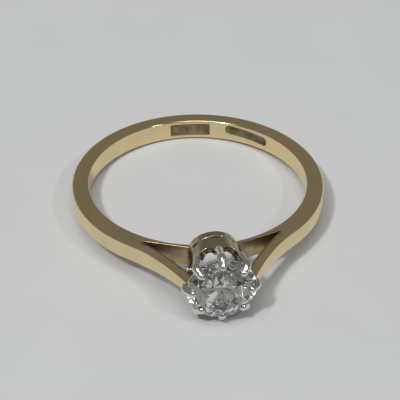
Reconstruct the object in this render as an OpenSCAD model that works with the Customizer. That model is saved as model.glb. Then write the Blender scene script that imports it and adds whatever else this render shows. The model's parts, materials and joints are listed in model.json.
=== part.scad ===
// Solitaire engagement ring: a gold hoop with two forked shoulders, and eight claws round one brilliant.
// The ring's axis is Z. The head stands out along -Y, with its first claw at +Z.

/* [Hoop] */
// Inside diameter, for a medium finger
finger_d = 16.8; // [14:0.2:21]
// Width of the band along the finger
band_w = 1.6; // [1.3:0.1:2.4]
// Thickness of the band at the back of the finger
back_t = 1.2; // [1.1:0.05:1.5]
// Thickness of the band at its two sides
side_t = 1.3; // [1.2:0.05:1.6]
// Radius on the outer edges of the band
edge_r = 0.2; // [0.1:0.05:0.4]

/* [Shoulders] */
// Height above the finger at which the upper arm reaches the head
arm_h = 4; // [3.6:0.1:4.2]
// Radius of the hollow sweep from the hoop up to the head
sweep_r = 16; // [12:0.5:20]
// Width of the upper arm where it meets the head
shoulder_w = 0.9; // [0.8:0.1:1.3]
// Thickness of the upper arm of the fork
arm_t = 0.78; // [0.6:0.02:0.9]
// Distance from the head's axis to the crotch of the fork
crotch_x = 5.3; // [4.4:0.1:5.6]
// Thickness of the lower rail where it meets the head
rail_t = 0.4; // [0.3:0.05:0.55]

/* [Head] */
// Outer diameter of the head where it meets the finger
foot_d = 3.9; // [3.4:0.1:4.4]
// Outer diameter that the head's cone would have level with the girdle of the stone
mouth_d = 5.2; // [4.9:0.1:5.5]
// Height of the base ring above the finger
base_h = 0.75; // [0.65:0.05:1]
// Wall of the base ring
base_t = 0.55; // [0.4:0.05:0.7]
// Height above the finger of the coronet's rim, on which the claws stand
rim_h = 2.85; // [2.5:0.05:3]
// Wall of the coronet
coronet_t = 0.5; // [0.4:0.05:0.6]
// Radius of the scallops in the rim between the claws
scallop_r = 0.55; // [0.4:0.05:0.6]
// Radius of the arches below the claws
arch_r = 0.32; // [0.2:0.02:0.4]

/* [Claws] */
// Diameter of a claw's leg
leg_d = 0.62; // [0.5:0.02:0.7]
// Diameter of the bend at a claw's shoulder
knee_d = 0.68; // [0.56:0.02:0.74]
// Diameter of the bead at a claw's tip
tip_d = 0.6; // [0.5:0.02:0.66]
// Distance from the middle of the girdle down to the middle of the bend
knee_drop = 0.15; // [0:0.05:0.3]
// Distance from the edge of the stone out to the middle of the bend
knee_out = 0.05; // [0.02:0.01:0.12]
// Distance from the edge of the stone in to the middle of the bead
tip_reach = 0.42; // [0.36:0.02:0.6]

/* [Stone] */
// Diameter of the stone
stone_d = 5.15; // [4.9:0.05:5.4]
// Height of the girdle's middle above the finger
girdle_h = 4.4; // [4.2:0.1:4.6]
// Thickness of the girdle at its thinnest
girdle_t = 0.06; // [0.04:0.01:0.12]
// Width of the table across its corners
table_d = 2.5; // [2.2:0.1:3]
// Slope of the eight main facets of the crown
crown_angle = 36; // [33:0.5:38]
// Slope of the sixteen upper girdle facets
upper_angle = 42.5; // [41:0.5:44]
// Slope of the eight main facets of the pavilion
pavilion_angle = 41; // [40:0.2:41.6]
// Slope of the sixteen lower girdle facets
lower_angle = 42.8; // [42.4:0.2:44]
// Width of the flat culet
culet_d = 0.14; // [0.06:0.02:0.3]

/* [Hidden] */
$fn = 96;
// Finer steps for the long arcs of the shoulders, and coarser ones for the small edge radii.
sweep_steps = 200;
edge_steps = 32;
// One claw for each main facet of the stone's crown, at 45 degrees to each other.
claw_count = 8;
fold = 360 / claw_count;
// Size of what cuts right through, and how far a smaller cut runs past what it cuts.
far = 40;
past = 2;
gold = "#d2b277";
platinum = "#c4c5c4";
ice = [0.85, 0.9, 0.95, 0.5];

finger_r = finger_d / 2;
outer_r = finger_r + side_t;
// The outer circle is set towards the head, so that the band is thinnest at the back.
outer_shift = side_t - back_t;
middle = [0, -outer_shift];

// The head is a cone about its own axis. Its heights are counted from the ring's axis.
base_top = finger_r + base_h;
rim_top = finger_r + rim_h;
girdle_z = finger_r + girdle_h;
cone_slope = (mouth_d - foot_d) / 2 / girdle_h;
function cone_r(z) = foot_d / 2 + cone_slope * (z - finger_r);

// The sweep is an arc that touches the hoop's outer circle and ends where the arm reaches the head.
arm_z = finger_r + arm_h;
reach = norm([cone_r(arm_z), arm_z - outer_shift]);
sweep_span = outer_r + sweep_r;
rise_angle = atan2(cone_r(arm_z), arm_z - outer_shift)
    + acos((reach * reach + sweep_span * sweep_span - sweep_r * sweep_r) / (2 * reach * sweep_span));
sweep_c = [sweep_span * sin(rise_angle), -outer_shift - sweep_span * cos(rise_angle)];
// The hoop and a shoulder are joined a few degrees behind the place where the sweep starts.
joint_margin = 2.5;
joint_angle = rise_angle + joint_margin;

// The window of the fork lies between the arm and a straight cut along the rail.
arm_r = sweep_r + arm_t;
crotch = [crotch_x, sweep_c.y + sqrt(pow(arm_r, 2) - pow(sweep_c.x - crotch_x, 2))];
rail_end = [foot_d / 2, -sqrt(pow(finger_r + rail_t, 2) - pow(foot_d / 2, 2))];
rail_axis_y = rail_end.y - rail_end.x * (crotch.y - rail_end.y) / (crotch.x - rail_end.x);

// Stone, measured from the middle of its girdle.
stone_r = stone_d / 2;
half_girdle = girdle_t / 2;
tuck = 1 - cos(fold / 4);
main_z = half_girdle + stone_r * tuck * tan(upper_angle);
table_z = main_z + (stone_r - table_d / 2) * tan(crown_angle);
// The star facets run from the table's edges down to the corners where main and upper girdle facets meet.
corner_r = stone_r * (cos(fold / 4) * tan(upper_angle) - tan(crown_angle))
    / (cos(fold / 4) * tan(upper_angle) - cos(fold / 2) * tan(crown_angle));
corner_z = half_girdle + (stone_r - corner_r * cos(fold / 4)) * tan(upper_angle);
pavilion_z = half_girdle + stone_r * tuck * tan(lower_angle);
culet_z = pavilion_z + (stone_r - culet_d / 2) * tan(pavilion_angle);
belly_r = stone_r * (cos(fold / 4) * tan(lower_angle) - tan(pavilion_angle))
    / (cos(fold / 4) * tan(lower_angle) - cos(fold / 2) * tan(pavilion_angle));
belly_z = half_girdle + (stone_r - belly_r * cos(fold / 4)) * tan(lower_angle);

// Middle line of a claw at +X in the head's frame: its foot on the rim, its bend and its bead.
// The legs stand out of the coronet's wall a little, as the solder seats of such claws do.
foot = [cone_r(rim_top) - coronet_t / 2 + leg_d / 4, rim_top];
knee = [stone_r + knee_out, girdle_z - knee_drop];
tip = [stone_r - tip_reach, girdle_z + main_z + tip_reach * tan(crown_angle)];
lean = (knee - foot) / norm(knee - foot);
// The bead is a little wider than the wire that it ends.
bead_step = 0.02;

function claw_angle(i) = 90 - fold * (i - 1);

// Turns the head's own frame, with its axis up, into the ring's frame.
module on_head() {
    rotate([90, 0, 0]) children();
}

module finger_bore() {
    cylinder(r = finger_r, h = far, center = true);
}

// Everything inside the head's cone.
module head_cone() {
    on_head()
        translate([0, 0, finger_r - past])
            cylinder(r1 = cone_r(finger_r - past), r2 = cone_r(girdle_z + past), h = girdle_h + 2 * past);
}

// A slice of the plane round the ring's axis, from one angle off the head's axis to another.
module slice(from, to) {
    rotate([0, 0, from - 90])
        rotate_extrude(angle = to - from)
            translate([0, -far / 2])
                square([far, far]);
}

module band_section() {
    w = band_w / 2 - edge_r;
    intersection() {
        translate([0, -band_w / 2])
            square([outer_r, band_w]);
        union() {
            square([2 * (outer_r - edge_r), band_w], center = true);
            square([2 * outer_r, 2 * w], center = true);
            for (s = [-1, 1])
                translate([outer_r - edge_r, s * w])
                    circle(r = edge_r, $fn = edge_steps);
        }
    }
}

module hoop() {
    color(gold)
        difference() {
            intersection() {
                translate(middle)
                    rotate_extrude()
                        band_section();
                slice(joint_angle, 360 - joint_angle);
            }
            finger_bore();
        }
}

// Outline of the stretch between the joint and the start of the sweep, which still follows the hoop.
module joint_outline() {
    intersection() {
        translate(middle)
            circle(r = outer_r);
        polygon([middle, sweep_c, [far, middle.y]]);
    }
}

// Outline of the stretch under the sweep, from its start to the head's axis.
module sweep_outline() {
    difference() {
        polygon([middle, sweep_c, [0, -girdle_z]]);
        translate(sweep_c)
            circle(r = sweep_r, $fn = sweep_steps);
    }
}

// Outline of the upper arm and the window below it, up to the crotch.
module arm_outline() {
    polygon([crotch, [0, rail_axis_y], [0, -girdle_z], sweep_c]);
}

// Outline of the fork's window, which the head closes on one side.
module window_outline() {
    difference() {
        arm_outline();
        translate(sweep_c)
            circle(r = arm_r, $fn = sweep_steps);
    }
}

// The upper arm's width, seen along Y: as wide as the band at the crotch, then narrowing to the head.
module taper_outline() {
    wide = band_w / 2;
    slim = shoulder_w / 2;
    polygon([[0, slim], [foot_d / 2, slim], [crotch_x, wide], [far, wide],
             [far, -wide], [crotch_x, -wide], [foot_d / 2, -slim], [0, -slim]]);
}

// What the taper takes off both sides of the upper arm.
module arm_sides() {
    difference() {
        linear_extrude(height = far, center = true)
            arm_outline();
        rotate([90, 0, 0])
            linear_extrude(height = 2 * far, center = true)
                taper_outline();
    }
}

// The shoulder at +X.
module shoulder() {
    color(gold)
        difference() {
            intersection() {
                union() {
                    linear_extrude(height = band_w, center = true)
                        joint_outline();
                    linear_extrude(height = band_w, center = true)
                        sweep_outline();
                }
                slice(0, joint_angle);
            }
            arm_sides();
            linear_extrude(height = far, center = true)
                window_outline();
            finger_bore();
            head_cone();
            on_head()
                rotate([0, 0, claw_angle(3)])
                    claw_wire();
        }
}

module shoulder_right() {
    shoulder();
}

module shoulder_left() {
    mirror([1, 0, 0]) shoulder();
}

module base_ring() {
    inner_r = foot_d / 2 - base_t;
    low = finger_r - past;
    color(gold)
        difference() {
            on_head()
                rotate_extrude()
                    polygon([[inner_r, low], [cone_r(low), low],
                             [cone_r(base_top), base_top], [inner_r, base_top]]);
            finger_bore();
        }
}

// A round cut through the coronet's wall, level with height z.
module wall_cut(r, z) {
    translate([foot_d / 4, 0, z])
        rotate([0, 90, 0])
            cylinder(r = r, h = mouth_d);
}

module coronet() {
    color(gold)
        on_head()
            difference() {
                rotate_extrude()
                    polygon([[cone_r(base_top) - coronet_t, base_top], [cone_r(base_top), base_top],
                             [cone_r(rim_top), rim_top], [cone_r(rim_top) - coronet_t, rim_top]]);
                for (i = [1 : claw_count])
                    rotate([0, 0, claw_angle(i)]) {
                        wall_cut(arch_r, base_top);
                        rotate([0, 0, fold / 2])
                            wall_cut(scallop_r, rim_top);
                    }
            }
}

// Points of a ring about the axis: n of them, the first one turned by the given angle.
function ring(n, r, z, turn) =
    [for (i = [0 : n - 1]) [r * cos(turn + i * 360 / n), r * sin(turn + i * 360 / n), z]];

// Girdle points, one for each quarter of a fold: the edge is thin amid a girdle facet and thick between two.
function girdle(side, thick_z) =
    [for (i = [0 : 4 * claw_count - 1])
        [stone_r * cos(i * fold / 4), stone_r * sin(i * fold / 4),
         side * (i % 2 == 0 ? thick_z : half_girdle)]];

// Round brilliant about its own axis, facet by facet, with the middle of its girdle at height 0.
module brilliant() {
    n = claw_count;
    table = 0;
    corner = table + n;
    upper = corner + n;
    lower = upper + 4 * n;
    belly = lower + 4 * n;
    culet = belly + n;
    points = concat(
        ring(n, table_d / 2, table_z, 0),
        ring(n, corner_r, corner_z, fold / 2),
        girdle(1, main_z),
        girdle(-1, pavilion_z),
        ring(n, belly_r, -belly_z, fold / 2),
        ring(n, culet_d / 2 / cos(fold / 2), -culet_z, fold / 2));
    faces = concat(
        [[for (i = [n - 1 : -1 : 0]) table + i]],
        [[for (i = [0 : n - 1]) culet + i]],
        [for (i = [0 : n - 1]) each
            let (j = (i + 1) % n, h = (i + n - 1) % n, g = 4 * i, m = 4 * i + 2, k = (4 * i + 4) % (4 * n))
            [
                [table + i, table + j, corner + i],
                [table + i, corner + i, upper + g, corner + h],
                [corner + i, upper + m, upper + g + 1, upper + g],
                [corner + i, upper + k, upper + m + 1, upper + m],
                [belly + i, lower + g, lower + g + 1, lower + m],
                [belly + i, lower + m, lower + m + 1, lower + k],
                [culet + i, culet + h, belly + h, lower + g, belly + i],
            ]],
        [for (i = [0 : 4 * n - 1])
            let (j = (i + 1) % (4 * n))
            [upper + i, upper + j, lower + j, lower + i]]);
    polyhedron(points = points, faces = faces);
}

module diamond() {
    color(ice)
        on_head()
            translate([0, 0, girdle_z])
                brilliant();
}

// Half-space above the plane of a main facet that meets the stone's edge at height z.
module above_facet(slope, z) {
    translate([stone_r, 0, z])
        rotate([0, slope, 0])
            translate([-far / 2, -far / 2, 0])
                cube([far, far, far / 2]);
}

// The stone's edge between its main facets, which the notch of a claw fits.
module bearing() {
    translate([0, 0, girdle_z])
        difference() {
            translate([0, 0, -girdle_h])
                cylinder(r = stone_r, h = 2 * girdle_h);
            above_facet(crown_angle, main_z);
            mirror([0, 0, 1])
                above_facet(pavilion_angle, pavilion_z);
        }
}

// A round bar between two points of the plane of x and z.
module bar(a, b, d1, d2) {
    run = b - a;
    translate([a.x, 0, a.y])
        rotate([0, atan2(run.x, run.y), 0])
            cylinder(d1 = d1, d2 = d2, h = norm(run));
}

// Claw at +X in the head's frame, before its notch is cut: leg, bend and bead, cut off level with the rim.
module claw_wire() {
    intersection() {
        union() {
            bar(foot - leg_d * lean, knee, leg_d, leg_d);
            translate([knee.x, 0, knee.y])
                sphere(d = knee_d);
            bar(knee, tip, leg_d, tip_d - bead_step);
            translate([tip.x, 0, tip.y])
                sphere(d = tip_d);
        }
        translate([-far / 2, -far / 2, rim_top])
            cube([far, far, far]);
    }
}

module claw(i) {
    color(platinum)
        on_head()
            rotate([0, 0, claw_angle(i)])
                difference() {
                    claw_wire();
                    bearing();
                }
}

hoop();
shoulder_left();
shoulder_right();
base_ring();
coronet();
diamond();
for (i = [1 : claw_count])
    claw(i);
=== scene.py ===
"""Solitaire engagement ring: a gold hoop with forked shoulders, and eight claws round one brilliant."""

import json
import math

import bmesh
import bpy
import numpy as np
from bpy.props import FloatProperty, FloatVectorProperty, PointerProperty
from mathutils import Matrix, Vector


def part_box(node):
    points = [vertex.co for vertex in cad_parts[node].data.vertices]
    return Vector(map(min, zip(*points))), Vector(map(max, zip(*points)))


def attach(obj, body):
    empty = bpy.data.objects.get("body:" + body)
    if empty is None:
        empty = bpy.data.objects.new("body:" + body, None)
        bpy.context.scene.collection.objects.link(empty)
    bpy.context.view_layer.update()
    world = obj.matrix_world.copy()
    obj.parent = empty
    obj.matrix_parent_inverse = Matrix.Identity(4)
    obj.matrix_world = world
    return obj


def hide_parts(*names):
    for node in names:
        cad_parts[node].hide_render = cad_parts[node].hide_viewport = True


bl_info = {
    "name": "Solitaire Ring",
    "version": (1, 0, 0),
    "blender": (4, 5, 0),
    "location": "View3D > Sidebar > Ring",
    "description": "Builds the finished pieces, metals and studio of a solitaire ring round its CAD model",
    "category": "Add Mesh",
}

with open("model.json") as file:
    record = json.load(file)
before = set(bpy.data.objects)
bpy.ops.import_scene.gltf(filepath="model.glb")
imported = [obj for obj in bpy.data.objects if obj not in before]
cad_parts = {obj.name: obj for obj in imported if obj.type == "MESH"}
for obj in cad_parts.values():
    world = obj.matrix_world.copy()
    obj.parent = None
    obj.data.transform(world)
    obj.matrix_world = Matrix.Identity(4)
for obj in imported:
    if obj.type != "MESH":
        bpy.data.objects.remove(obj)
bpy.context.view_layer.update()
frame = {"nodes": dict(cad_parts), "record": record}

MM = 0.001
BODY = "root"


# ---------------------------------------------------------------- what the frame says


def corners(node):
    """Lowest and highest corner of a CAD node as two arrays, in metres."""
    low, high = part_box(node)
    return np.array(low), np.array(high)


def node_points(node):
    """All the points of a CAD node's mesh."""
    mesh = frame["nodes"][node].data
    flat = np.zeros(3 * len(mesh.vertices))
    mesh.vertices.foreach_get("co", flat)
    return flat.reshape(-1, 3)


# The ring's axis is Z, and the head stands out along -Y.
# A height in the head is a distance from the ring's axis.
HOOP_LOW, HOOP_HIGH = corners("hoop")
SHOULDER_LOW = corners("shoulder_right")[0]
BASE_LOW, BASE_HIGH = corners("base_ring")
CORONET_LOW, CORONET_HIGH = corners("coronet")

FINGER_R = next(m for m in frame["record"]["mounts"] if m["name"] == "finger_bore")["dims"]["r_mm"] * MM
OUTER_R = HOOP_HIGH[0]
OUTER_SHIFT = OUTER_R - HOOP_HIGH[1]
BAND_W = HOOP_HIGH[2] - HOOP_LOW[2]
JOINT_Y = -HOOP_LOW[1]
ARM_TOP = -SHOULDER_LOW[1]
BASE_TOP = -BASE_LOW[1]
RIM_TOP = -CORONET_LOW[1]
RIM_R = CORONET_HIGH[0]
CONE_SLOPE = (RIM_R - BASE_HIGH[0]) / (RIM_TOP - BASE_TOP)
STONE_R = corners("diamond")[1][0]
CLAW_NODES = sorted(n for n in frame["nodes"] if n.startswith("claw_"))
FOLD = 2 * math.pi / len(CLAW_NODES)

# A point of the stone this near to its full radius is on the girdle.
GIRDLE_SHARE = 0.999
_stone = node_points("diamond")
_edge = -_stone[np.hypot(_stone[:, 0], _stone[:, 2]) > STONE_R * GIRDLE_SHARE][:, 1]
EDGE_LOW, EDGE_TOP = _edge.min(), _edge.max()
GIRDLE = (EDGE_LOW + EDGE_TOP) / 2


def cone_r(height):
    """Radius of the head's cone: it grows evenly with the height."""
    return RIM_R + CONE_SLOPE * (height - RIM_TOP)


# ---------------------------------------------------------------- sizes and colours a user would change


def length(name, value_mm, text):
    """A length in metres, shown in the scene's units."""
    return FloatProperty(
        name=name, description=text, default=value_mm * MM, unit="LENGTH", precision=5, min=0
    )


def share(name, value, text):
    """A plain share from 0 to 1."""
    return FloatProperty(name=name, description=text, default=value, subtype="FACTOR", min=0, max=1)


def colour(name, value, text):
    """A linear colour."""
    return FloatVectorProperty(
        name=name, description=text, default=value, subtype="COLOR", size=3, min=0, max=1
    )


def angle(name, degrees, text):
    """An angle, stored in radians."""
    return FloatProperty(name=name, description=text, default=math.radians(degrees), unit="ROTATION")


def power(name, watts, text):
    """The power of a lamp."""
    return FloatProperty(name=name, description=text, default=watts, unit="POWER")


class HoopSettings(bpy.types.PropertyGroup):
    """The band round the finger."""

    outer_edge: length("Outer edge", 0.27, "Radius on the two outer edges of the band")
    inner_edge: length("Inner edge", 0.12, "Radius on the two edges that touch the finger")
    swell: length("Swell", 0.04, "How far the outside of the band bulges between its edges")
    mark_depth: length("Mark depth", 0.05, "Depth of the worn punch marks inside the band")


class ShoulderSettings(bpy.types.PropertyGroup):
    """The two forked shoulders."""

    sweep_radius: length("Sweep radius", 16, "Radius of the hollow sweep from the hoop up to the head")
    arm_thickness: length("Arm thickness", 0.78, "Thickness of the upper arm of the fork")
    head_width: length("Width at the head", 0.9, "Width of the upper arm where it meets the head")
    crotch: length("Crotch", 5.3, "Distance from the head's axis to the crotch of the fork")
    rail: length("Rail", 0.4, "Thickness of the lower rail where it meets the head")
    window_edge: length("Window edge", 0.07, "Radius on the edges of the fork's window")
    arm_edge: length("Arm edge", 0.2, "Radius on the outer edges of the upper arm at the head")
    joint_margin: angle("Joint margin", 2.5, "How far behind the start of the sweep the hoop is joined")


class HeadSettings(bpy.types.PropertyGroup):
    """The base ring and the coronet."""

    base_wall: length("Base wall", 0.55, "Wall of the base ring")
    coronet_wall: length("Coronet wall", 0.5, "Wall of the coronet")
    scallop: length("Scallop", 0.55, "Radius of the scallops in the rim between the claws")
    arch: length("Arch", 0.32, "Radius of the arches below the claws")
    edge: length("Edge", 0.06, "Radius on the edges of the base ring and the coronet")


class ClawSettings(bpy.types.PropertyGroup):
    """The claws that hold the stone."""

    leg: length("Leg", 0.62, "Diameter of a claw's leg")
    bend: length("Bend", 0.68, "Diameter of the bend at a claw's shoulder")
    bead: length("Bead", 0.6, "Diameter of the bead at a claw's tip")
    bend_drop: length("Bend drop", 0.15, "Distance from the girdle down to the middle of the bend")
    bend_out: length("Bend out", 0.05, "Distance from the edge of the stone out to the middle of the bend")
    reach: length("Reach", 0.42, "Distance from the edge of the stone in to the middle of the bead")
    root: length("Root", 0.5, "How far a leg runs down inside the wall of the coronet")
    crown_angle: angle("Crown angle", 36, "Slope of the stone's crown under the claw")
    pavilion_angle: angle("Pavilion angle", 41, "Slope of the stone's pavilion behind the claw")


class FinishSettings(bpy.types.PropertyGroup):
    """The metals and the stone."""

    gold: colour("Gold", (0.88, 0.72, 0.42), "Colour of the polished gold of the band")
    # The head's gold is the band's gold made darker and greyer: painted shade.
    head_gold: colour("Head gold", (0.56, 0.50, 0.375), "Colour of the gold of the head")
    platinum: colour("Platinum", (0.52, 0.52, 0.51), "Colour of the claws")
    # This colour is also used as painted shade on the walls of the shoulders' windows.
    grime: colour("Grime", (0.13, 0.10, 0.06), "Colour of the dirt that settles in the marks")
    diamond: colour("Diamond", (0.9, 0.915, 0.9), "Body colour of the stone")
    polish: share("Roughness", 0.085, "Roughness of the polished metal")


class StageSettings(bpy.types.PropertyGroup):
    """The floor, the lights and the camera."""

    floor: colour("Floor", (0.715, 0.73, 0.745), "Colour of the floor")
    azimuth: angle("Azimuth", -8, "Where the camera stands round the ring, from straight ahead of the head")
    elevation: angle("Elevation", 34.6, "Height of the camera above the plane of the ring")
    distance: length("Distance", 150, "Distance of the camera from the middle of the finger hole")
    roll: angle("Roll", 0.39, "Turn of the camera about its own line of sight")
    lens: FloatProperty(name="Lens", description="Focal length of the camera", default=174.6, unit="CAMERA")
    room: colour("Room", (0.185, 0.178, 0.165), "Colour of the dim room that the metal mirrors")
    top: power("Top light", 1.85, "Power of the wide light overhead")
    key: power("Key light", 1.25, "Power of the light in front on the left")
    side: power("Side light", 0.35, "Power of the light on the right")


# ---------------------------------------------------------------- meshes


def grid(rows, columns, closed_rows=False):
    """Quads of a grid of rows by columns points, closed across its columns, as rows of four numbers."""
    top = np.arange(rows if closed_rows else rows - 1)
    i, j = np.meshgrid(top, np.arange(columns), indexing="ij")
    down, right = (i + 1) % rows, (j + 1) % columns
    quads = [i * columns + j, i * columns + right, down * columns + right, down * columns + j]
    return np.stack(quads, -1).reshape(-1, 4)


# Points nearer than this are one point. A face with more sides than a quad is a cap.
WELD = 0.0004 * MM
QUAD = 4


def piece(name, points, faces, node, slot, material, caps=(), **layers):
    """Turns whole arrays of points and faces into a finished piece that stands for a CAD node.

    A cap is the one kind of face with more than four sides. It is flat, and its edges are crisp.
    """
    mesh = bpy.data.meshes.new(name)
    mesh.from_pydata(points.tolist(), [], faces.tolist() + [list(c) for c in caps])
    for layer, values in layers.items():
        stored = mesh.attributes.new(layer, "FLOAT", "POINT")
        stored.data.foreach_set("value", values.astype(np.float32).ravel())
    weld = bmesh.new()
    weld.from_mesh(mesh)
    bmesh.ops.remove_doubles(weld, verts=weld.verts, dist=WELD)
    bmesh.ops.recalc_face_normals(weld, faces=weld.faces)
    weld.to_mesh(mesh)
    weld.free()
    sides = np.zeros(len(mesh.polygons), dtype=np.int32)
    mesh.polygons.foreach_get("loop_total", sides)
    mesh.polygons.foreach_set("use_smooth", sides <= QUAD)
    edge_of = np.zeros(len(mesh.loops), dtype=np.int32)
    mesh.loops.foreach_get("edge_index", edge_of)
    crisp = np.zeros(len(mesh.edges), dtype=bool)
    crisp[edge_of[np.repeat(sides > QUAD, sides)]] = True
    mesh.edges.foreach_set("use_edge_sharp", crisp)
    mesh.update()
    made = bpy.data.objects.new(name, mesh)
    bpy.context.scene.collection.objects.link(made)
    mesh.materials.append(material)
    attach(made, BODY)
    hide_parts(node)
    return made


# Angles round a corner's arc, and places along a straight run as shares of it.
CORNER = np.linspace(0, math.pi / 2, 7)
FLAT = np.array([0.05, 0.35, 0.65, 0.95])


def rounded_section(thick, half, inner_r, outer_r, inner_flat=FLAT):
    """Rounded rectangles, one a station: quarter arcs of the two radii joined by straight runs.

    Across runs from 0 to thick, up from -half to half. Returns across, up and wear, which is 1 in the middle
    of a corner's arc and 0 on the flats, each as stations by points.
    """
    sizes = np.broadcast_arrays(thick, half, inner_r, outer_r)
    thick, half, inner_r, outer_r = (np.reshape(v, (-1, 1)) for v in sizes)
    near, far = 1 - np.cos(CORNER), 1 - np.sin(CORNER)
    arcs = [
        (inner_r * near, half - inner_r * far),
        (thick - outer_r * far, half - outer_r * near),
        (thick - outer_r * near, outer_r * far - half),
        (inner_r * far, inner_r * near - half),
    ]
    flats = [FLAT, FLAT, FLAT, inner_flat]
    across, up, wear = [], [], []
    for this, following, flat in zip(arcs, arcs[1:] + arcs[:1], flats):
        for values, k in ((across, 0), (up, 1)):
            start, end = this[k][:, -1:], following[k][:, :1]
            values += [this[k], start + (end - start) * flat]
        wear += [np.sin(2 * CORNER), 0 * flat]
    across, up = np.concatenate(across, 1), np.concatenate(up, 1)
    return across, up, np.broadcast_to(np.concatenate(wear), across.shape)


def ease(x):
    """Smooth step: 3 x squared less 2 x cubed, held between 0 and 1."""
    x = np.clip(x, 0, 1)
    return x * x * (3 - 2 * x)


def outer_distance(turn):
    """Distance from the ring's axis to the outside of the band, at an angle from the head.

    The outside is a circle whose centre lies a little towards the head, so the band is thinnest at the back.
    """
    return OUTER_SHIFT * np.cos(turn) + np.sqrt(OUTER_R**2 - (OUTER_SHIFT * np.sin(turn)) ** 2)


# ---------------------------------------------------------------- the hoop


JOINT = math.atan2(math.sqrt(OUTER_R**2 - (OUTER_SHIFT - JOINT_Y) ** 2), JOINT_Y)


# The sunk panel: its middle, along and across the band, and half its length and height.
PANEL_AT, PANEL_UP, PANEL_HALF, PANEL_TALL = 0.54 * MM, 0.02 * MM, 1.62 * MM, 0.53 * MM
HATCH_STEP = 0.24 * MM
# The slanted oblong: its middle, half its straight length, its radius, and the line on which it lies.
OBLONG_AT, OBLONG_HALF, OBLONG_R = 5.25 * MM, 1.5 * MM, 0.4 * MM
OBLONG_START, OBLONG_UP, OBLONG_SLANT = 3.4 * MM, 0.24 * MM, 0.06
PIT_STEP = (0.52 * MM, 0.5 * MM)
SOFT_EDGE = 0.07 * MM
# Share of the depth that the hatching and the pits take up, and share of the dirt that the hatching does.
RELIEF, HATCH_DIRT = 0.2, 0.15


def punch_marks(along, up, depth):
    """Depth of the worn marks inside the band, and how dirty they are, at a place along and across it.

    One is a sunk panel with plain diagonal hatching, a wave of along plus up. The other is a slanted
    oblong with pits, a product of a wave along it and one across it.
    """
    hatch = 0.5 + 0.5 * np.cos(2 * math.pi * (along + up) / HATCH_STEP)
    panel = ease((PANEL_HALF - np.abs(along - PANEL_AT)) / SOFT_EDGE)
    panel = panel * ease((PANEL_TALL - np.abs(up - PANEL_UP)) / SOFT_EDGE)
    middle = OBLONG_UP - OBLONG_SLANT * (along - OBLONG_START)
    reach = np.maximum(np.abs(along - OBLONG_AT) - OBLONG_HALF, 0)
    oblong = ease((OBLONG_R - np.hypot(reach, up - middle)) / SOFT_EDGE)
    pits = np.cos(2 * math.pi * along / PIT_STEP[0]) * np.cos(2 * math.pi * (up - middle) / PIT_STEP[1])
    sunk = (1 - RELIEF) * (panel + oblong) + RELIEF * (panel * hatch + oblong * pits)
    return depth * sunk, np.maximum(panel * (1 - HATCH_DIRT + HATCH_DIRT * hatch), oblong)


# The stretch of the hoop that holds the marks, as turns from the head, has finer steps than the
# stretches before and after it.
MARKS_FROM, MARKS_TO = math.pi - 0.2, math.pi + 0.92
BEFORE, MARKED, AFTER = 110, 330, 90
# Points of the section this near to the finger take the marks.
ON_FINGER = 0.001 * MM
# Where those points lie, as shares of the way across the band.
INNER_FLAT = np.concatenate([[0.01], np.linspace(0.03, 0.97, 50), [0.99]])


class RING_OT_hoop(bpy.types.Operator):
    """Build the hoop: a rounded section carried round the finger, from one shoulder to the other"""

    bl_idname = "ring.hoop"
    bl_label = "Hoop"

    def execute(self, context):
        """Each point lies on a ray from the ring's axis, at the finger's radius plus its place across."""
        sizes = context.scene.ring_hoop
        # The head is at -Y, so a turn past the back of the finger brings the marks to the side of +X.
        before = np.linspace(JOINT, MARKS_FROM, BEFORE)
        marked = np.linspace(MARKS_FROM, MARKS_TO, MARKED)
        after = np.linspace(MARKS_TO, 2 * math.pi - JOINT, AFTER)
        turn = -np.concatenate([before, marked[1:], after[1:]])
        thick = outer_distance(turn) - FINGER_R
        across, up, wear = rounded_section(
            thick, BAND_W / 2, sizes.inner_edge, sizes.outer_edge, INNER_FLAT
        )
        across = across + sizes.swell * (across / thick[:, None]) ** 2 * (1 - (2 * up / BAND_W) ** 2)
        inside = across < ON_FINGER
        along = FINGER_R * (-turn - math.pi)[:, None] * np.ones_like(across)
        sunk, dirt = punch_marks(along, up, sizes.mark_depth)
        across = across + np.where(inside, sunk, 0)
        radius = FINGER_R + across
        points = np.stack([radius * np.sin(turn)[:, None], -radius * np.cos(turn)[:, None], up], -1)
        stations, count = across.shape
        ends = [range(count), range((stations - 1) * count, stations * count)]
        piece(
            "hoop_polished",
            points.reshape(-1, 3),
            grid(stations, count),
            "hoop",
            "gold_band",
            yellow_gold(context),
            ends,
            wear=wear,
            dirt=np.where(inside, dirt, 0),
        )
        return {"FINISHED"}


# ---------------------------------------------------------------- the shoulders


def tangent_sweep(radius, margin):
    """Middle of the sweep's arc, and the angle round the band's own middle at which the two touch.

    The arc touches the outside of the band a small margin ahead of the joint, so its middle lies on the
    ray through that point, at the sum of the two radii.
    """
    rise, span = JOINT - margin, OUTER_R + radius
    return np.array([span * math.sin(rise), -OUTER_SHIFT - span * math.cos(rise)]), rise


def arc(middle, radius, start, end, count):
    """Points on an arc about a middle, from one angle to another, counted from +X."""
    turn = np.linspace(start, end, count)
    return middle + radius * np.stack([np.cos(turn), np.sin(turn)], -1)


def spread(path, count):
    """The same path with its points evenly spaced along its length."""
    gone = np.concatenate([[0], np.cumsum(np.hypot(*np.diff(path, axis=0).T))])
    want = np.linspace(0, gone[-1], count)
    return np.stack([np.interp(want, gone, path[:, k]) for k in (0, 1)], -1)


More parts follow.
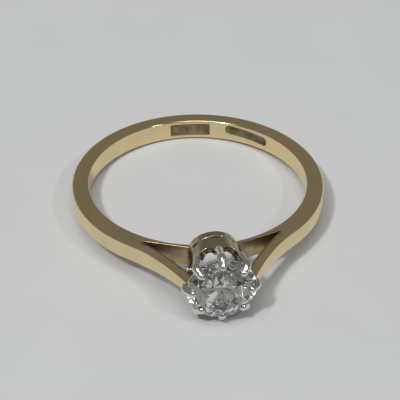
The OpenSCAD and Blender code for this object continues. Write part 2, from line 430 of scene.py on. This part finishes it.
class RING_OT_shoulders(bpy.types.Operator):
    """Build both shoulders: each is an outer and an inner strip that part at the crotch of the fork"""

    bl_idname = "ring.shoulders"
    bl_label = "Shoulders"

    # Stations before and after the crotch, and points on the two arcs that the first of these follow.
    STEM, FORK = 26, 70
    FOLLOW, CLIMB = 12, 60
    # Share of the band's thickness, from the finger, at which the seam between the strips starts.
    SEAM_START = 0.55
    # How far the upper arm runs into the head's cone.
    SUNK = 0.02 * MM
    # Stations past the crotch by which the window's edge, the arm's edge and the painted shade are full.
    WINDOW_IN, ARM_IN, DIRT_IN = 8, 20, 6
    # Painted shade on the window's walls, and the share of a strip's thickness, from the window, that has
    # it.
    WINDOW_DIRT, WINDOW_DEEP = 0.7, 0.3

    def lines(self, sizes):
        """The four lines of a shoulder, joint to head: outside, both sides of the window, and finger."""
        centre, rise = tangent_sweep(sizes.sweep_radius, sizes.joint_margin)
        band = np.array([0, -OUTER_SHIFT])
        arm_r = sizes.sweep_radius + sizes.arm_thickness
        drop = math.sqrt(arm_r**2 - (centre[0] - sizes.crotch) ** 2)
        crotch = np.array([sizes.crotch, centre[1] + drop])
        start = np.array([math.sin(JOINT), -math.cos(JOINT)])
        joint_out, joint_in = start * outer_distance(JOINT), start * FINGER_R
        joint_turn = math.atan2(joint_out[1] + OUTER_SHIFT, joint_out[0])
        touch = centre + (band - centre) * sizes.sweep_radius / np.hypot(*(band - centre))
        touch_turn = math.atan2(*(touch - centre)[::-1])
        crotch_turn = math.atan2(*(crotch - centre)[::-1])
        head_x = cone_r(ARM_TOP) - self.SUNK
        head_turn = math.pi - math.acos((centre[0] - head_x) / sizes.sweep_radius)
        follow = arc(band, OUTER_R, joint_turn, rise - math.pi / 2, self.FOLLOW)
        climb = arc(centre, sizes.sweep_radius, touch_turn, crotch_turn, self.CLIMB)
        outside = np.concatenate([
            spread(np.concatenate([follow, climb]), self.STEM),
            arc(centre, sizes.sweep_radius, crotch_turn, head_turn, self.FORK)[1:],
        ])
        seam_start = joint_in + (joint_out - joint_in) * self.SEAM_START
        seam = seam_start + np.linspace(0, 1, self.STEM)[:, None] * (crotch - seam_start)
        under = np.concatenate([seam, arc(centre, arm_r, crotch_turn, head_turn, self.FORK)[1:]])
        foot_r = BASE_HIGH[0] - sizes.rail
        rail_x = cone_r(FINGER_R)
        rail_end = np.array([rail_x, -math.sqrt((FINGER_R + sizes.rail) ** 2 - rail_x**2)])
        rail_out = rail_end + (rail_end - crotch) * (rail_x - foot_r) / (crotch[0] - rail_x)
        rail = crotch + np.linspace(0, 1, self.FORK)[1:, None] * (rail_out - crotch)
        over = np.concatenate([seam, rail])
        crotch_polar = math.atan2(crotch[1], crotch[0])
        end_polar = -math.acos(foot_r / FINGER_R)
        finger = np.concatenate([
            arc(np.zeros(2), FINGER_R, JOINT - math.pi / 2, crotch_polar, self.STEM),
            arc(np.zeros(2), FINGER_R, crotch_polar, end_polar, self.FORK)[1:],
        ])
        return outside, under, over, finger

    def strip(self, inner, outer, inner_r, outer_r, crotch_x, head_width, swell):
        """A rounded section carried between two lines; its height follows the width of the shoulder there.

        The width is the band's as far as the crotch, and then falls evenly to the width at the head.
        """
        thick = np.hypot(*(outer - inner).T)
        half = np.full(len(thick), BAND_W / 2)
        across, up, wear = rounded_section(thick, half, inner_r, outer_r)
        level = up / half[:, None]
        across = across + swell * (across / thick[:, None]) ** 2 * (1 - level**2)
        way = (outer - inner)[:, None, :] / thick[:, None, None]
        flat = inner[:, None, :] + way * across[..., None]
        gone = np.clip((crotch_x - flat[..., 0]) / (crotch_x - cone_r(FINGER_R)), 0, 1)
        width = BAND_W + (head_width - BAND_W) * gone
        points = np.concatenate([flat, (level * width / 2)[..., None]], -1)
        return points, wear, across < self.WINDOW_DEEP * thick[:, None]

    def execute(self, context):
        """The strips share a seam up to the crotch, where no face is needed between them."""
        sizes, hoop = context.scene.ring_shoulders, context.scene.ring_hoop
        outside, under, over, finger = self.lines(sizes)
        past = np.arange(len(outside)) - (self.STEM - 1)
        window_r = sizes.window_edge * ease(past / self.WINDOW_IN)
        arm_r = hoop.outer_edge + (sizes.arm_edge - hoop.outer_edge) * ease(past / self.ARM_IN)
        upper = self.strip(under, outside, window_r, arm_r, sizes.crotch, sizes.head_width, hoop.swell)
        # The lower strip is measured from the seam down to the finger, so its inner edge is the window's.
        lower = self.strip(over, finger, window_r, hoop.inner_edge, sizes.crotch, BAND_W, 0)
        stations, count = upper[1].shape
        faces = grid(stations, count)
        station, column = faces.min(1) // count, np.arange(len(faces)) % count
        keep = (column < count - 1 - len(FLAT)) | (station >= self.STEM - 1)
        faces = np.concatenate([faces[keep], faces[keep] + stations * count])
        points = np.concatenate([upper[0].reshape(-1, 3), lower[0].reshape(-1, 3)])
        wear = np.concatenate([upper[1].ravel(), lower[1].ravel()])
        window = np.concatenate([upper[2].ravel(), lower[2].ravel()])
        # The window's walls are darkened towards the grime colour: painted shade inside the fork.
        dirt = self.WINDOW_DIRT * window * np.tile(np.repeat(ease(past / self.DIRT_IN), count), 2)
        ends = (0, stations - 1, stations, 2 * stations - 1)
        caps = [range(k * count, (k + 1) * count) for k in ends]
        for side, name in ((1, "right"), (-1, "left")):
            piece(
                f"shoulder_{name}_polished",
                points * [side, 1, 1],
                faces,
                f"shoulder_{name}",
                "gold_band",
                yellow_gold(context),
                caps,
                wear=wear,
                dirt=dirt,
            )
        return {"FINISHED"}


# ---------------------------------------------------------------- the head


# Darkening on the inside and on the outside of each wall, which part at the wall's middle.
BASE_DIRT = (0.5, 0.1)
CORONET_DIRT = (0.6, 0.15)
MID_WALL = 0.5
# Points round the base ring, on each scallop or arch, and on the straight runs between them.
BASE_STEPS, CIRCLE_STEPS, RUN_STEPS = 192, 25, 6


def on_head(radius, turn, height):
    """Points of the head from a radius and a turn about its axis and a height from the ring's axis."""
    return np.stack([radius * np.cos(turn), -height, radius * np.sin(turn)], -1)


class RING_OT_base_ring(bpy.types.Operator):
    """Build the base ring: a conical wall whose lower edge is a saddle on the finger"""

    bl_idname = "ring.base_ring"
    bl_label = "Base ring"

    def execute(self, context):
        """The wall stands on the finger, whose height is the root of r squared less x squared."""
        sizes = context.scene.ring_head
        turn = np.linspace(0, 2 * math.pi, BASE_STEPS, endpoint=False)
        tall = BASE_TOP - FINGER_R
        across, up, wear = rounded_section(sizes.base_wall, tall / 2, sizes.edge, sizes.edge)
        parts = (across, up / tall + 0.5, wear)
        across, level, wear = (np.broadcast_to(v, (len(turn), v.shape[1])) for v in parts)
        inner = BASE_HIGH[0] - sizes.base_wall
        base = np.sqrt(FINGER_R**2 - ((inner + across) * np.cos(turn)[:, None]) ** 2)
        height = base + (BASE_TOP - base) * level
        radius = inner + across + (cone_r(height) - BASE_HIGH[0]) * across / sizes.base_wall
        points = on_head(radius, turn[:, None], height)
        piece(
            "base_ring_polished",
            points.reshape(-1, 3),
            grid(*across.shape, closed_rows=True),
            "base_ring",
            "gold_head",
            head_gold(context),
            wear=wear,
            dirt=np.where(across < MID_WALL * sizes.base_wall, *BASE_DIRT),
        )
        return {"FINISHED"}


class RING_OT_coronet(bpy.types.Operator):
    """Build the coronet: a conical wall with arches in its foot and scallops in its rim"""

    bl_idname = "ring.coronet"
    bl_label = "Coronet"

    def execute(self, context):
        """Scallops and arches are circles, as deep as the root of r squared less the way squared."""
        sizes = context.scene.ring_head
        arch_half, scallop_half = sizes.arch / cone_r(BASE_TOP), sizes.scallop / RIM_R
        bow = np.sin(np.linspace(-math.pi / 2, math.pi / 2, CIRCLE_STEPS))
        fold = np.concatenate([
            arch_half * bow,
            np.linspace(arch_half, FOLD / 2 - scallop_half, RUN_STEPS)[1:-1],
            FOLD / 2 + scallop_half * bow,
            np.linspace(FOLD / 2 + scallop_half, FOLD - arch_half, RUN_STEPS)[1:-1],
        ])
        turn = (np.arange(len(CLAW_NODES))[:, None] * FOLD + fold).ravel()
        near = (turn + FOLD / 2) % FOLD - FOLD / 2
        between = turn % FOLD - FOLD / 2
        foot = BASE_TOP + np.sqrt(np.clip(sizes.arch**2 - (near * cone_r(BASE_TOP)) ** 2, 0, None))
        rim = RIM_TOP - np.sqrt(np.clip(sizes.scallop**2 - (between * RIM_R) ** 2, 0, None))
        half = (rim - foot) / 2
        across, up, wear = rounded_section(sizes.coronet_wall, half, sizes.edge, sizes.edge)
        height = ((rim + foot) / 2)[:, None] + up
        radius = cone_r(height) - sizes.coronet_wall + across
        points = on_head(radius, turn[:, None], height)
        piece(
            "coronet_polished",
            points.reshape(-1, 3),
            grid(*across.shape, closed_rows=True),
            "coronet",
            "gold_head",
            head_gold(context),
            wear=wear,
            dirt=np.where(across < MID_WALL * sizes.coronet_wall, *CORONET_DIRT),
        )
        return {"FINISHED"}


# ---------------------------------------------------------------- the claws


class RING_OT_claws(bpy.types.Operator):
    """Build the claws: round wires bent over the edge of the stone, each ending in a bead"""

    bl_idname = "ring.claws"
    bl_label = "Claws"

    # Points along the root, the leg, the bend, the run to the bead and the bead, and round the wire.
    ROOT_STEPS, LEG_STEPS, BEND_STEPS, REACH_STEPS, BEAD_STEPS, ROUND_STEPS = 10, 14, 20, 8, 12, 40
    # Shares of the leg and of the run to the bead that the bend takes up, and half its bulge's length.
    BEND_BELOW, BEND_ABOVE = 0.16, 0.3
    BULGE_HALF = 0.35 * MM
    # The root's thickness as a share of the leg's.
    ROOT_SLIM = 0.62
    # The darkening at a claw's root, and how far it reaches along the claw.
    ROOT_DIRT, DIRT_REACH = 0.4, 0.3 * MM
    # A ray that slopes less than this runs along a plane.
    LEVEL = 1e-9

    def middle_line(self, sizes, wall):
        """Radius and height along a claw: a root in the wall, a straight leg, a bend and a run to the bead.

        The bend is a quadratic curve between the two straights, so that they run into it smoothly.
        """
        foot = np.array([RIM_R - wall / 2 + sizes.leg / 4, RIM_TOP])
        knee = np.array([STONE_R + sizes.bend_out, GIRDLE - sizes.bend_drop])
        tip = np.array([STONE_R - sizes.reach, EDGE_TOP + sizes.reach * math.tan(sizes.crown_angle)])
        low = knee + (foot - knee) * self.BEND_BELOW
        high = knee + (tip - knee) * self.BEND_ABOVE
        root = np.array([cone_r(RIM_TOP - sizes.root) - wall / 2, RIM_TOP - sizes.root])
        s = np.linspace(0, 1, self.BEND_STEPS)[:, None]
        bend = (1 - s) ** 2 * low + 2 * s * (1 - s) * knee + s**2 * high
        return np.concatenate([
            root + (foot - root) * np.linspace(0, 1, self.ROOT_STEPS)[:-1, None],
            foot + (low - foot) * np.linspace(0, 1, self.LEG_STEPS)[:-1, None],
            bend,
            high + (tip - high) * np.linspace(0, 1, self.REACH_STEPS)[1:, None],
        ])

    def clear_of_stone(self, centre, inward):
        """Distance from a claw's middle line to the stone, straight inwards, or a long way where it misses.

        The stone's edge is an outer wall between two slopes. A ray is inside it from the last of the
        planes that it enters to the first that it leaves.
        """
        sizes = bpy.context.scene.ring_claws
        crown, pavilion = sizes.crown_angle, sizes.pavilion_angle
        above = [math.sin(crown), math.cos(crown)]
        below = [math.sin(pavilion), -math.cos(pavilion)]
        out = np.array([[1, 0], above, below])
        at = np.array([[STONE_R, GIRDLE], [STONE_R, EDGE_TOP], [STONE_R, EDGE_LOW]])
        gap = (at * out).sum(1) - centre @ out.T
        rate = inward @ out.T
        when = gap / np.where(np.abs(rate) < self.LEVEL, self.LEVEL, rate)
        enter = np.where(rate < 0, when, -1).max(1)
        leave = np.where(rate > 0, when, 1).min(1)
        return np.where(enter < leave, np.maximum(enter, 0), 1)

    def execute(self, context):
        """A circle of changing radius is carried along the middle line, clear of the stone on its inside."""
        sizes, wall = context.scene.ring_claws, context.scene.ring_head.coronet_wall
        line = self.middle_line(sizes, wall)
        step = np.gradient(line, axis=0)
        ahead = step / np.hypot(*step.T)[:, None]
        inward = np.stack([-ahead[:, 1], ahead[:, 0]], -1)
        gone = np.concatenate([[0], np.cumsum(np.hypot(*np.diff(line, axis=0).T))])
        knee_at = gone[np.argmin(np.hypot(*(line - [STONE_R, GIRDLE]).T))]
        bulge = np.exp(-(((gone - knee_at) / self.BULGE_HALF) ** 2))
        # The root is slim enough to stay inside the coronet's wall, and swells to the leg at the rim.
        radius = sizes.leg / 2 * (self.ROOT_SLIM + (1 - self.ROOT_SLIM) * ease(gone / sizes.root))
        radius = radius + (sizes.bend - sizes.leg) / 2 * bulge
        radius = radius + (sizes.bead - sizes.leg) / 2 * ease((gone - knee_at) / (gone[-1] - knee_at))
        # The bead closes the end with a half sphere about the last point.
        close = np.linspace(0, math.pi / 2, self.BEAD_STEPS)[1:]
        bead = sizes.bead / 2
        line = np.concatenate([line, line[-1] + bead * np.sin(close)[:, None] * ahead[-1]])
        inward = np.concatenate([inward, np.repeat(inward[-1:], len(close), 0)])
        radius = np.concatenate([radius, bead * np.cos(close)])
        turn = np.linspace(0, 2 * math.pi, self.ROUND_STEPS, endpoint=False)
        deep, aside = radius[:, None] * np.cos(turn), radius[:, None] * np.sin(turn)
        deep = np.minimum(deep, self.clear_of_stone(line, inward)[:, None])
        flat = line[:, None, :] + deep[..., None] * inward[:, None, :]
        stations, count = deep.shape
        faces = grid(stations, count)
        wear = np.broadcast_to(ease(np.arange(stations) / stations)[:, None], deep.shape)
        # The darkening is a bell along the claw, which has nearly gone where the root leaves the wall.
        dirt = self.ROOT_DIRT * np.exp(-((gone / self.DIRT_REACH) ** 2))
        dirt = np.concatenate([dirt, np.zeros(len(close))])[:, None]
        for node in CLAW_NODES:
            heading = math.pi / 2 - FOLD * (int(node.split("_")[1]) - 1)
            out = np.array([math.cos(heading), math.sin(heading)])
            side = np.array([-math.sin(heading), math.cos(heading)])
            around = flat[..., :1] * out + aside[..., None] * side
            points = np.stack([around[..., 0], -flat[..., 1], around[..., 1]], -1)
            piece(
                f"{node}_polished",
                points.reshape(-1, 3),
                faces,
                node,
                "platinum",
                platinum(context),
                [range(count)],
                wear=wear,
                dirt=np.broadcast_to(dirt, deep.shape),
            )
        return {"FINISHED"}


# ---------------------------------------------------------------- materials


class Nodes:
    """A small helper that adds nodes to a material's tree and wires them by name."""

    def __init__(self, tree):
        self.tree = tree
        self.tree.nodes.clear()

    def add(self, kind, inputs=(), **settings):
        """Adds a node, sets its plain settings, and links or sets its inputs."""
        made = self.tree.nodes.new(kind)
        for key, value in settings.items():
            setattr(made, key, value)
        for key, value in dict(inputs).items():
            if isinstance(value, bpy.types.NodeSocket):
                self.tree.links.new(value, made.inputs[key])
            else:
                made.inputs[key].default_value = value
        return made

    def math(self, operation, a, b, clamp=False):
        """One sum of two values."""
        return self.add("ShaderNodeMath", {0: a, 1: b}, operation=operation, use_clamp=clamp).outputs[0]

    def noise(self, where, scale, detail=2.0, rough=0.5):
        """Noise of a number of waves a metre."""
        wanted = {"Vector": where, "Scale": scale, "Detail": detail, "Roughness": rough}
        made = self.add("ShaderNodeTexNoise", wanted)
        return made.outputs["Factor" if "Factor" in made.outputs else "Fac"]

    def spread(self, value, low, high, to_low, to_high):
        """Takes a value from one range to another, held at the ends."""
        made = self.add(
            "ShaderNodeMapRange",
            {"Value": value, "From Min": low, "From Max": high, "To Min": to_low, "To Max": to_high},
        )
        return made.outputs["Result"]

    def attribute(self, name):
        """A number that the piece's own points carry."""
        return self.add("ShaderNodeAttribute", attribute_name=name).outputs["Fac"]

    def blend(self, factor, a, b):
        """One colour going over to another."""
        made = self.add("ShaderNodeMix", {"Factor": factor}, data_type="RGBA")
        for socket, value in ((made.inputs[6], a), (made.inputs[7], b)):
            if isinstance(value, bpy.types.NodeSocket):
                self.tree.links.new(value, socket)
            else:
                socket.default_value = (*value, 1) if len(value) == 3 else value
        return made.outputs[2]


def shade(name, build):
    """The material of that name, built once."""
    found = bpy.data.materials.get(name)
    if found is None:
        found = bpy.data.materials.new(name)
        found.use_nodes = True
        build(Nodes(found.node_tree))
    return found


# Waves a metre of the metal's cloudy tone, polishing lines, grain and patches in the dirt and painted shade.
CLOUD, LINES, GRAIN, PATCHES = 420.0, 1900.0, 5200.0, 1500.0
# The lines are this many times as fine along the finger as round it, and this deep.
LINE_STRETCH, LINE_DEPTH = 9.0, 0.012 * MM
# The darker of the two tones, and what an edge's wear and the full dirt and painted shade add to the
# roughness.
CLOUD_TONE, WEAR_ROUGH, DIRT_ROUGH = 0.9, 0.05, 0.45


def polished_metal(nodes, tone, grime, polish, scratch):
    """A worn polished metal: cloudy tone, fine scratches, softer edges, and dirt and painted shade where a
    piece has them.
    """
    where = nodes.add("ShaderNodeTexCoord").outputs["Object"]
    cloud = nodes.noise(where, CLOUD, 3.0)
    fine = nodes.noise(where, GRAIN, 2.0, 0.6)
    stretch = {"Vector": where, "Scale": (1.0, 1.0, LINE_STRETCH)}
    lines = nodes.noise(nodes.add("ShaderNodeMapping", stretch).outputs[0], LINES, 3.0, 0.7)
    dirt = nodes.attribute("dirt")
    wear = nodes.attribute("wear")
    patches = nodes.spread(nodes.noise(where, PATCHES, 3.0), 0.35, 0.65, 0.75, 1.0)
    dark = nodes.math("MULTIPLY", dirt, patches)
    shaded = tuple(v * CLOUD_TONE for v in tone)
    base = nodes.blend(nodes.spread(cloud, 0.3, 0.7, 0.0, 1.0), tone, shaded)
    # Where the mark is, the tone goes over to the grime colour: dirt on the marks, painted shade in the
    # windows.
    base = nodes.blend(dark, base, grime)
    rough = nodes.spread(lines, 0.3, 0.75, polish * 0.75, polish * 1.4)
    rough = nodes.math("ADD", rough, nodes.math("MULTIPLY", wear, WEAR_ROUGH))
    rough = nodes.math("ADD", rough, nodes.math("MULTIPLY", dark, DIRT_ROUGH), clamp=True)
    height = nodes.math("ADD", nodes.math("MULTIPLY", lines, 0.7), nodes.math("MULTIPLY", fine, 0.3))
    bump = nodes.add("ShaderNodeBump", {"Height": height, "Strength": scratch, "Distance": LINE_DEPTH})
    shader = nodes.add(
        "ShaderNodeBsdfPrincipled",
        {"Base Color": base, "Metallic": 1.0, "Roughness": rough, "Normal": bump.outputs[0]},
    )
    nodes.add("ShaderNodeOutputMaterial", {"Surface": shader.outputs[0]})


def metal(name, tone, look, polish, scratch):
    """The polished metal of that name, in a tone of its own and the finish's colour for dirt and painted
    shade.
    """
    return shade(name, lambda n: polished_metal(n, tuple(tone), tuple(look.grime), polish, scratch))


def yellow_gold(context):
    """The band's gold."""
    look = context.scene.ring_finish
    return metal("yellow_gold", look.gold, look, look.polish, 0.35)


def head_gold(context):
    """The head's gold: the band's gold made darker and greyer as painted shade, and with a rougher polish.
    """
    look = context.scene.ring_finish
    return metal("head_gold", look.head_gold, look, look.polish * 1.5, 0.5)


def platinum(context):
    """The claws' metal."""
    look = context.scene.ring_finish
    return metal("platinum", look.platinum, look, look.polish, 0.25)


DIAMOND_IOR = 2.417
# Shares of the stone's radius between which its skin turns from clear to frosted.
FROST_FROM, FROST_TO = 0.985, 0.995


def clear_diamond(context):
    """Clear stone with a frosted girdle: rough where it is its full radius from the head's axis."""
    look = context.scene.ring_finish

    def build(nodes):
        where = nodes.add("ShaderNodeTexCoord").outputs["Object"]
        level = nodes.add("ShaderNodeVectorMath", {0: where, 1: (1, 0, 1)}, operation="MULTIPLY")
        radius = nodes.add("ShaderNodeVectorMath", {0: level.outputs[0]}, operation="LENGTH")
        radius = radius.outputs["Value"]
        frost = nodes.spread(radius, STONE_R * FROST_FROM, STONE_R * FROST_TO, 0.0, 0.35)
        film = nodes.spread(nodes.noise(where, 900.0, 2.0), 0.5, 0.8, 0.0, 0.03)
        shader = nodes.add(
            "ShaderNodeBsdfPrincipled",
            {
                "Base Color": (*look.diamond, 1),
                "Roughness": nodes.math("ADD", frost, film),
                "IOR": DIAMOND_IOR,
                "Transmission Weight": 1.0,
            },
        )
        nodes.add("ShaderNodeOutputMaterial", {"Surface": shader.outputs[0]})

    return shade("clear_diamond", build)


class RING_OT_stone(bpy.types.Operator):
    """Give the brilliant, whose facets are already exact, its clear material"""

    bl_idname = "ring.stone"
    bl_label = "Stone"

    def execute(self, context):
        """The stone keeps its own mesh and only changes its material."""
        stone = frame["nodes"]["diamond"]
        stone.data.materials.clear()
        stone.data.materials.append(clear_diamond(context))
        return {"FINISHED"}


# ---------------------------------------------------------------- the stage


# Half the floor's side in metres, the points along a side, and how far it lies below the ring.
FLOOR_HALF, FLOOR_STEPS, FLOOR_GAP = 0.6, 41, 0.01 * MM
# Each lamp's azimuth and elevation in degrees, distance and side in metres, and tint.
LAMPS = {
    "top": (-20, 68, 0.8, 0.5, (0.985, 1.0, 1.0)),
    "key": (-40, 52, 0.6, 0.05, (1.0, 0.99, 0.98)),
    "side": (40, 45, 0.6, 0.06, (0.97, 0.985, 1.0)),
}
# How far to the right of the middle of the finger hole and how far below it the camera aims.
AIM_RIGHT, AIM_DOWN = 0.19 * MM, 0.9 * MM


def direction(azimuth, elevation):
    """Unit vector that way from the ring, with the azimuth counted from straight ahead of the head."""
    flat = math.cos(elevation)
    return Vector((math.sin(azimuth) * flat, -math.cos(azimuth) * flat, math.sin(elevation)))


def floor_plane():
    """A point and the slope of the floor, on which the front claw and the back of the band rest."""
    front = np.array([-GIRDLE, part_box("claw_5")[0][2]])
    back = np.array([HOOP_HIGH[1], HOOP_LOW[2]])
    return front, (back[1] - front[1]) / (back[0] - front[0])


class RING_OT_stage(bpy.types.Operator):
    """Set the floor, the lights and the camera"""

    bl_idname = "ring.stage"
    bl_label = "Stage"

    def floor(self, stage):
        """A flat sheet: the plane on which the ring rests, as a grid of points."""
        front, slope = floor_plane()
        span = np.linspace(-FLOOR_HALF, FLOOR_HALF, FLOOR_STEPS)
        x, y = np.meshgrid(span, span, indexing="ij")
        z = front[1] + slope * (y - front[0]) - FLOOR_GAP
        mesh = bpy.data.meshes.new("floor")
        corner = np.arange(FLOOR_STEPS**2).reshape(FLOOR_STEPS, FLOOR_STEPS)
        quads = np.stack([corner[:-1, :-1], corner[1:, :-1], corner[1:, 1:], corner[:-1, 1:]], -1)
        points = np.stack([x, y, z], -1).reshape(-1, 3)
        mesh.from_pydata(points.tolist(), [], quads.reshape(-1, 4).tolist())
        made = bpy.data.objects.new("floor", mesh)
        bpy.context.scene.collection.objects.link(made)
        mesh.materials.append(shade("pale_card", lambda n: self.card(n, tuple(stage.floor))))

    def card(self, nodes, tone):
        """Pale matt card with a faint mottle."""
        where = nodes.add("ShaderNodeTexCoord").outputs["Object"]
        mottle = nodes.spread(nodes.noise(where, 160.0, 4.0), 0.3, 0.7, 0.0, 1.0)
        base = nodes.blend(mottle, tone, tuple(v * 0.975 for v in tone))
        shader = nodes.add("ShaderNodeBsdfPrincipled", {"Base Color": base, "Roughness": 0.75})
        nodes.add("ShaderNodeOutputMaterial", {"Surface": shader.outputs[0]})

    def lamp(self, name, azimuth, elevation, distance, size, power, tint):
        """A square lamp that looks at the ring from an azimuth and an elevation in degrees."""
        data = bpy.data.lights.new(name, "AREA")
        data.size, data.energy, data.color = size, power, tint
        made = bpy.data.objects.new(name, data)
        bpy.context.scene.collection.objects.link(made)
        back = direction(math.radians(azimuth), math.radians(elevation))
        made.location = back * distance
        made.rotation_euler = back.to_track_quat("Z", "Y").to_euler()

    def world(self, scene, stage):
        """A dim, even room."""
        scene.world = bpy.data.worlds.new("room")
        scene.world.use_nodes = True
        nodes = Nodes(scene.world.node_tree)
        room = nodes.add("ShaderNodeBackground", {"Color": (*stage.room, 1), "Strength": 1.0})
        nodes.add("ShaderNodeOutputWorld", {"Surface": room.outputs[0]})

    def camera(self, scene, stage):
        """Stands back from the ring along its azimuth and elevation, and looks a little below its middle."""
        back = direction(stage.azimuth, stage.elevation)
        right = Vector((math.cos(stage.azimuth), math.sin(stage.azimuth), 0))
        up = back.cross(right)
        data = bpy.data.cameras.new("camera")
        data.lens, data.sensor_width = stage.lens, 36
        data.clip_start, data.clip_end = 0.01, 10
        made = bpy.data.objects.new("camera", data)
        scene.collection.objects.link(made)
        made.location = back * stage.distance
        aim = right * AIM_RIGHT - up * AIM_DOWN
        sight = (made.location - aim).normalized()
        turn = sight.to_track_quat("Z", "Y").to_matrix() @ Matrix.Rotation(stage.roll, 3, "Z")
        made.rotation_euler = turn.to_euler()
        scene.camera = made

    def execute(self, context):
        """The view transform is the plain one, so that the pale floor stays as pale as it is set."""
        scene, stage = context.scene, context.scene.ring_stage
        self.floor(stage)
        self.world(scene, stage)
        for name, (azimuth, elevation, distance, size, tint) in LAMPS.items():
            self.lamp(name, azimuth, elevation, distance, size, getattr(stage, name), tint)
        self.camera(scene, stage)
        scene.view_settings.view_transform = "Standard"
        return {"FINISHED"}


# ---------------------------------------------------------------- the add-on


class RING_PT_panel(bpy.types.Panel):
    """The ring's sizes, colours and pieces."""

    bl_idname = "RING_PT_panel"
    bl_label = "Solitaire ring"
    bl_space_type = "VIEW_3D"
    bl_region_type = "UI"
    bl_category = "Ring"

    def draw(self, context):
        """Lists each group of settings with the buttons that use it."""
        for operators, settings in SECTIONS:
            box = self.layout.box()
            for operator in operators:
                box.operator(operator.bl_idname)
            group = getattr(context.scene, settings)
            for key in group.__annotations__:
                box.prop(group, key)


SECTIONS = [
    ((RING_OT_hoop,), "ring_hoop"),
    ((RING_OT_shoulders,), "ring_shoulders"),
    ((RING_OT_base_ring, RING_OT_coronet), "ring_head"),
    ((RING_OT_claws,), "ring_claws"),
    ((RING_OT_stone,), "ring_finish"),
    ((RING_OT_stage,), "ring_stage"),
]
SETTINGS = {
    "ring_hoop": HoopSettings,
    "ring_shoulders": ShoulderSettings,
    "ring_head": HeadSettings,
    "ring_claws": ClawSettings,
    "ring_finish": FinishSettings,
    "ring_stage": StageSettings,
}
CLASSES = [*SETTINGS.values(), *(o for operators, _ in SECTIONS for o in operators), RING_PT_panel]


def register():
    """Registers the classes and hangs each group of settings on the scene."""
    for cls in CLASSES:
        bpy.utils.register_class(cls)
    for key, cls in SETTINGS.items():
        setattr(bpy.types.Scene, key, PointerProperty(type=cls))


def unregister():
    """Takes back what register did."""
    for key in SETTINGS:
        delattr(bpy.types.Scene, key)
    for cls in reversed(CLASSES):
        bpy.utils.unregister_class(cls)


def main():
    """Builds every piece and the stage."""
    register()
    bpy.ops.ring.hoop()
    bpy.ops.ring.shoulders()
    bpy.ops.ring.base_ring()
    bpy.ops.ring.coronet()
    bpy.ops.ring.claws()
    bpy.ops.ring.stone()
    bpy.ops.ring.stage()


if __name__ == "__main__":
    main()
